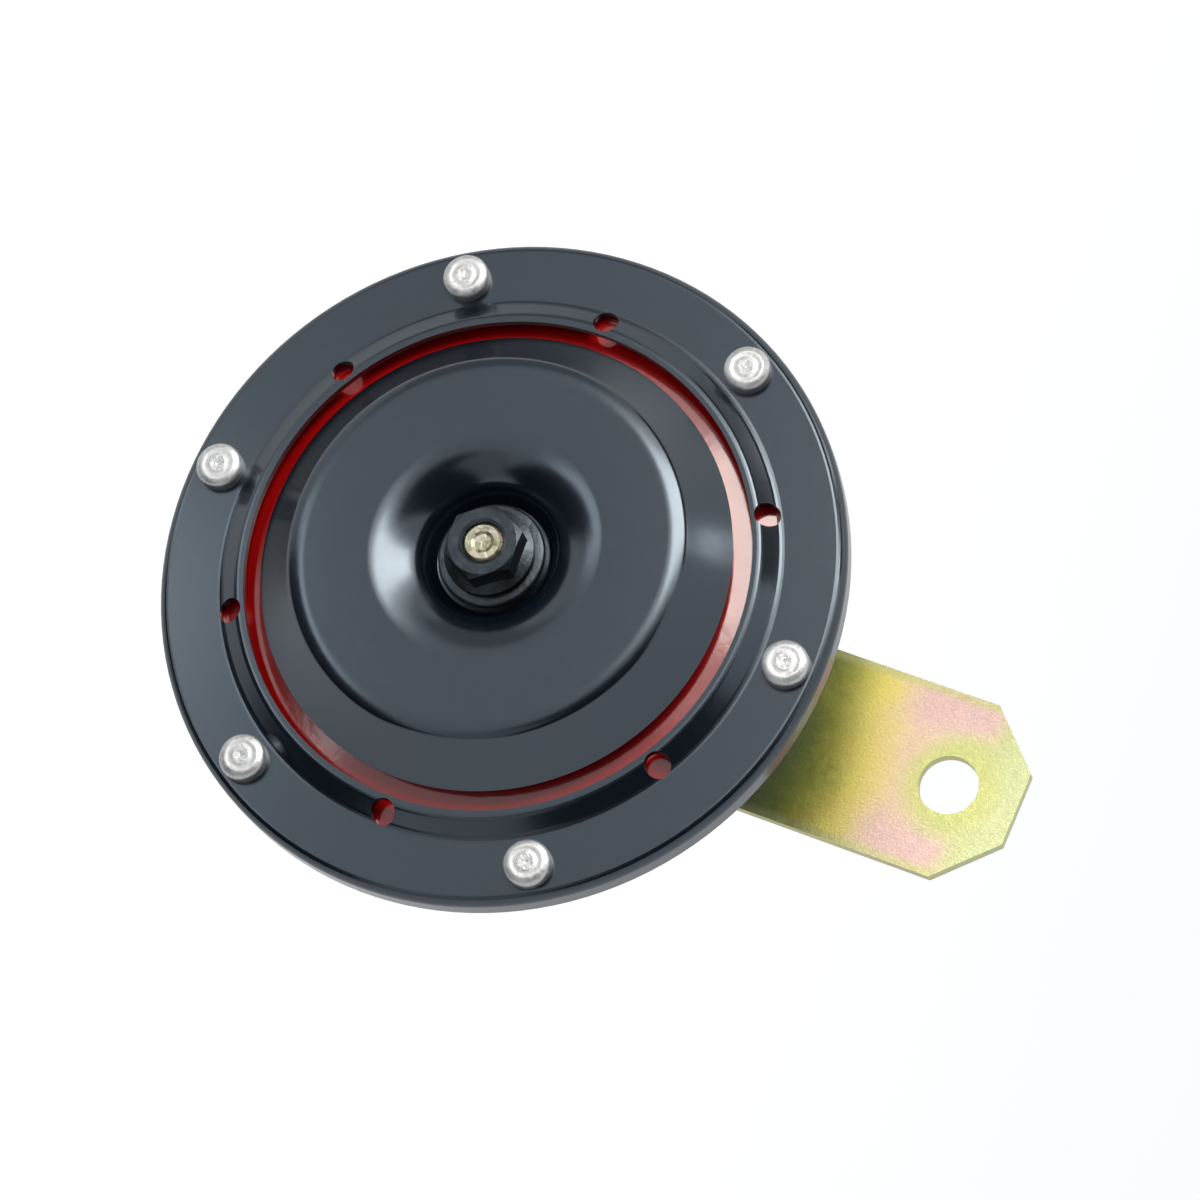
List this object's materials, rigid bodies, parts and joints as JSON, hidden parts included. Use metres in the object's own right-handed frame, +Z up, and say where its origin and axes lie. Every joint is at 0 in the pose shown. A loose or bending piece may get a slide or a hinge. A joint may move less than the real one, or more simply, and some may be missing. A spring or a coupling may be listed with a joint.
{
  "type": "electric horn",
  "caption": "Electric disc horn with a black stamped front ring, red diaphragm, pressed tone disc and flat yellow zinc bracket",
  "frame": {"origin": "centre of the bracket's bolt hole on its rear face, the face that lies against the vehicle", "axes": "front, the sound side, toward -Y; +Y to the rear along the bolt's axis; +Z up along the bracket from the horn axis to the bolt hole; +X to the horn's left as seen from behind, right as seen from the front"},
  "size_m": [0.1, 0.0566, 0.1253],
  "materials": {
    "black_paint": "semi-gloss black paint on steel sheet",
    "red_paint": "glossy red paint on the diaphragm",
    "yellow_zinc": "yellow passivated zinc with rainbow tints",
    "bright_zinc": "bright zinc",
    "stud_zinc": "pale yellow zinc",
    "dark_steel": "dark phosphated steel",
    "soft_iron": "plain soft iron",
    "copper": "enamelled copper wire",
    "spring_bronze": "bronze strip",
    "contact_metal": "contact alloy",
    "bush_brass": "turned brass",
    "gasket_fibre": "pressed fibre",
    "insulator": "laminated paper",
    "pale_plastic": "natural nylon",
    "black_plastic": "moulded black plastic",
    "seal_rubber": "sealing rubber",
    "wire_sleeve": "sleeved wire"
  },
  "bodies": {
    "horn_body": {"front_ring": "black_paint", "front_gasket": "gasket_fibre", "diaphragm": "red_paint", "rear_gasket": "gasket_fibre", "housing": "black_paint", "rivet_1": "bright_zinc", "rivet_2": "bright_zinc", "rivet_3": "bright_zinc", "rivet_4": "bright_zinc", "rivet_5": "bright_zinc", "rivet_6": "bright_zinc", "magnet_core": "soft_iron", "magnet_pot": "soft_iron", "coil_bobbin": "pale_plastic", "coil_winding": "copper", "breaker_bracket": "bright_zinc", "breaker_clamp_plate": "bright_zinc", "insulator_lower": "insulator", "insulator_middle": "insulator", "insulator_upper": "insulator", "fixed_contact_arm": "spring_bronze", "moving_contact_arm": "spring_bronze", "fixed_contact": "contact_metal", "moving_contact": "contact_metal", "stack_rivet_1": "bright_zinc", "stack_rivet_2": "bright_zinc", "foot_rivet_1": "black_paint", "foot_rivet_2": "black_paint", "adjusting_screw": "yellow_zinc", "adjuster_tip": "pale_plastic", "adjuster_bush": "bush_brass", "adjuster_seal": "seal_rubber", "adjuster_lock_nut": "yellow_zinc", "terminal_plate": "black_plastic", "terminal_inner_plate": "insulator", "terminal_blade_1": "bright_zinc", "terminal_blade_2": "bright_zinc", "terminal_rivet_1": "bright_zinc", "terminal_rivet_2": "bright_zinc", "coil_lead_start": "wire_sleeve", "coil_lead_end": "copper", "breaker_lead": "wire_sleeve", "bracket": "yellow_zinc", "bracket_washer": "yellow_zinc", "bracket_spring_washer": "bright_zinc", "bracket_nut": "yellow_zinc"},
    "vibrator": {"armature": "soft_iron", "armature_stud": "stud_zinc", "armature_pusher": "pale_plastic", "tone_disc": "black_paint", "tone_disc_nut": "dark_steel", "tone_disc_washer": "dark_steel", "tone_disc_spacer": "soft_iron"}
  },
  "joints": [
    {"name": "armature_stroke", "type": "slide", "parent": "horn_body", "child": "vibrator", "axis": [0, 1, 0], "range_m": [-0.0004, 0.0005], "stiffness_N_per_m": 10000, "deforming": ["diaphragm"]}
  ]
}
